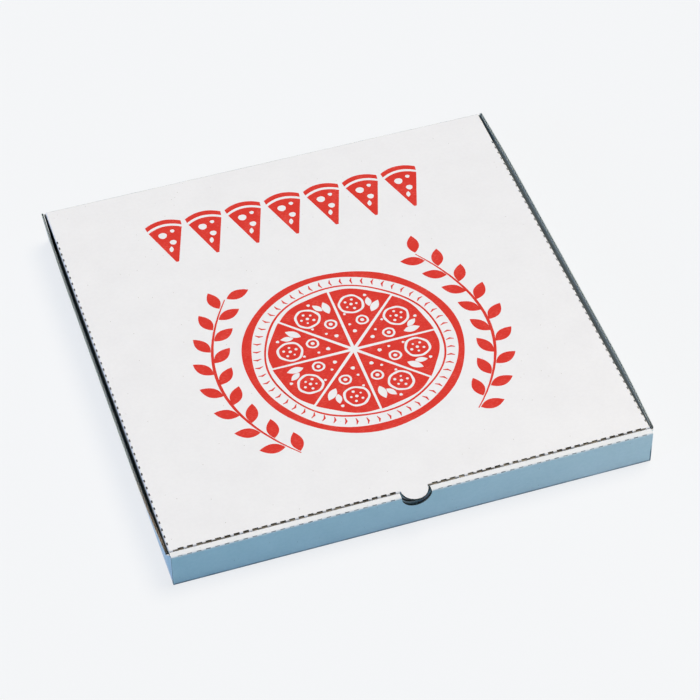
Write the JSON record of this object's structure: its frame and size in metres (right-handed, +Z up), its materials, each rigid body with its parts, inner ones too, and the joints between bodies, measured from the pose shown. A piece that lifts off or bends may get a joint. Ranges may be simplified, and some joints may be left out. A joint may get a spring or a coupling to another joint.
{
  "type": "pizza box",
  "caption": "Shallow square folding carton of white corrugated board, with a rolled front wall, a finger notch and a lid that lifts at the rear fold on tuck flaps.",
  "frame": {"origin": "on the underside, under the middle of the base", "axes": "+Z up out of the lid, -Y to the front wall with the finger notch, +X to the right seen from the front"},
  "size_m": [0.3392, 0.3406, 0.028],
  "materials": {
    "board": "matte white-lined corrugated board"
  },
  "bodies": {
    "tray": {"tray": "board"},
    "lid": {"lid": "board"}
  },
  "joints": [
    {"name": "lid_hinge", "type": "hinge", "parent": "tray", "child": "lid", "pos_m": [0, 0.1685, 0.028], "axis": [-1, 0, 0], "range_deg": [0, 180]}
  ]
}
